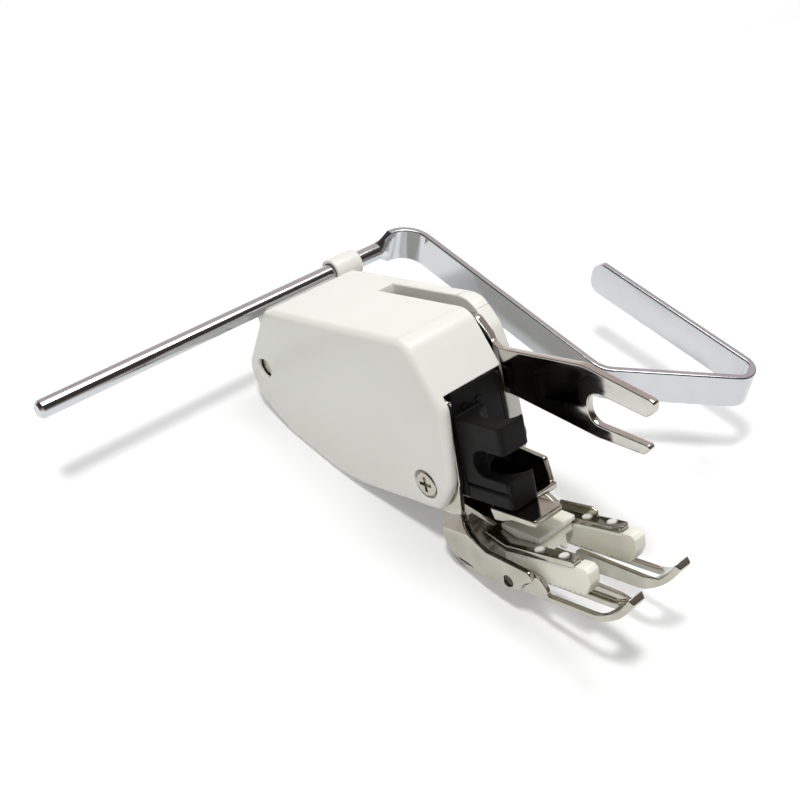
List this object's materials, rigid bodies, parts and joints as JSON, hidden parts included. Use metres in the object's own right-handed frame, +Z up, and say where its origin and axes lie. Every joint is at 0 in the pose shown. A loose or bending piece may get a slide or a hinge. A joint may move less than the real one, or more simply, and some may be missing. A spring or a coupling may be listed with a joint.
{
  "type": "sewing machine presser foot",
  "caption": "Low shank walking foot: a cover over a sheet frame, a forked lever, toothed feed legs that swing over a slotted sole, and a bent quilting guide held at the back.",
  "frame": {"origin": "where the axis of the clamp screw meets the axis of the presser bar, in the open groove of the shank block", "axes": "+Z up along the presser bar, +X to the operator's right, +Y to the back of the machine; the sole's underside is at Z = -19.3 mm"},
  "size_m": [0.096, 0.077, 0.0401],
  "materials": {
    "cover_ivory": "glossy moulded ivory white",
    "block_black": "matte black paint",
    "plated_sheet": "bright plated sheet steel, slightly worn",
    "lever_plate": "bright plated sheet steel with softly rounded edges",
    "guide_chrome": "bright plated wire, flattened to a strip",
    "nylon": "slightly translucent white nylon",
    "steel_pin": "turned steel",
    "cast_inner": "plain die cast",
    "spring_steel": "drawn wire",
    "screw_plated": "bright plated screw"
  },
  "bodies": {
    "frame": {"cover": "cover_ivory", "shank_block": "block_black", "main_frame": "plated_sheet", "block_rivets": "block_black", "cover_screws": "screw_plated", "lift_pin": "steel_pin", "lift_spring": "spring_steel", "feed_spring": "spring_steel"},
    "lever": {"fork_lever": "lever_plate", "lever_shaft": "steel_pin", "lever_cam": "steel_pin", "lever_ring": "spring_steel"},
    "lift": {"lift_arm": "cast_inner", "carrier_pin": "steel_pin"},
    "carrier": {"feed_carrier": "plated_sheet", "feed_bridge": "nylon", "teeth_left": "nylon", "teeth_right": "nylon"},
    "sole": {"sole_plate": "plated_sheet", "sole_pins": "steel_pin"},
    "guide": {"guide_bar": "guide_chrome"}
  },
  "joints": [
    {"name": "lever_swing", "type": "hinge", "parent": "frame", "child": "lever", "pos_m": [0, 0.0474, 0.0079], "axis": [-1, 0, 0], "range_deg": [-8, 13]},
    {"name": "lift_swing", "type": "hinge", "parent": "frame", "child": "lift", "pos_m": [0, 0.0401, 0.0002], "axis": [-1, 0, 0], "range_deg": [-3.5, 2.2], "deforming": ["lift_spring"]},
    {"name": "feed_swing", "type": "hinge", "parent": "lift", "child": "carrier", "pos_m": [0, 0.013, 0.011], "axis": [1, 0, 0], "range_deg": [0, 4], "stiffness_Nm_per_rad": 0.12, "springref_deg": -2.86, "deforming": ["feed_spring"]},
    {"name": "sole_tilt", "type": "hinge", "parent": "frame", "child": "sole", "pos_m": [0, -0.0029, -0.0173], "axis": [1, 0, 0], "range_deg": [-3, 3]},
    {"name": "guide_slide", "type": "slide", "parent": "frame", "child": "guide", "axis": [1, 0, 0], "range_m": [-0.0045, 0.045]}
  ],
  "couplings": [
    {"joint": "lift_swing", "follows": "lever_swing", "ratio": -0.2586}
  ]
}
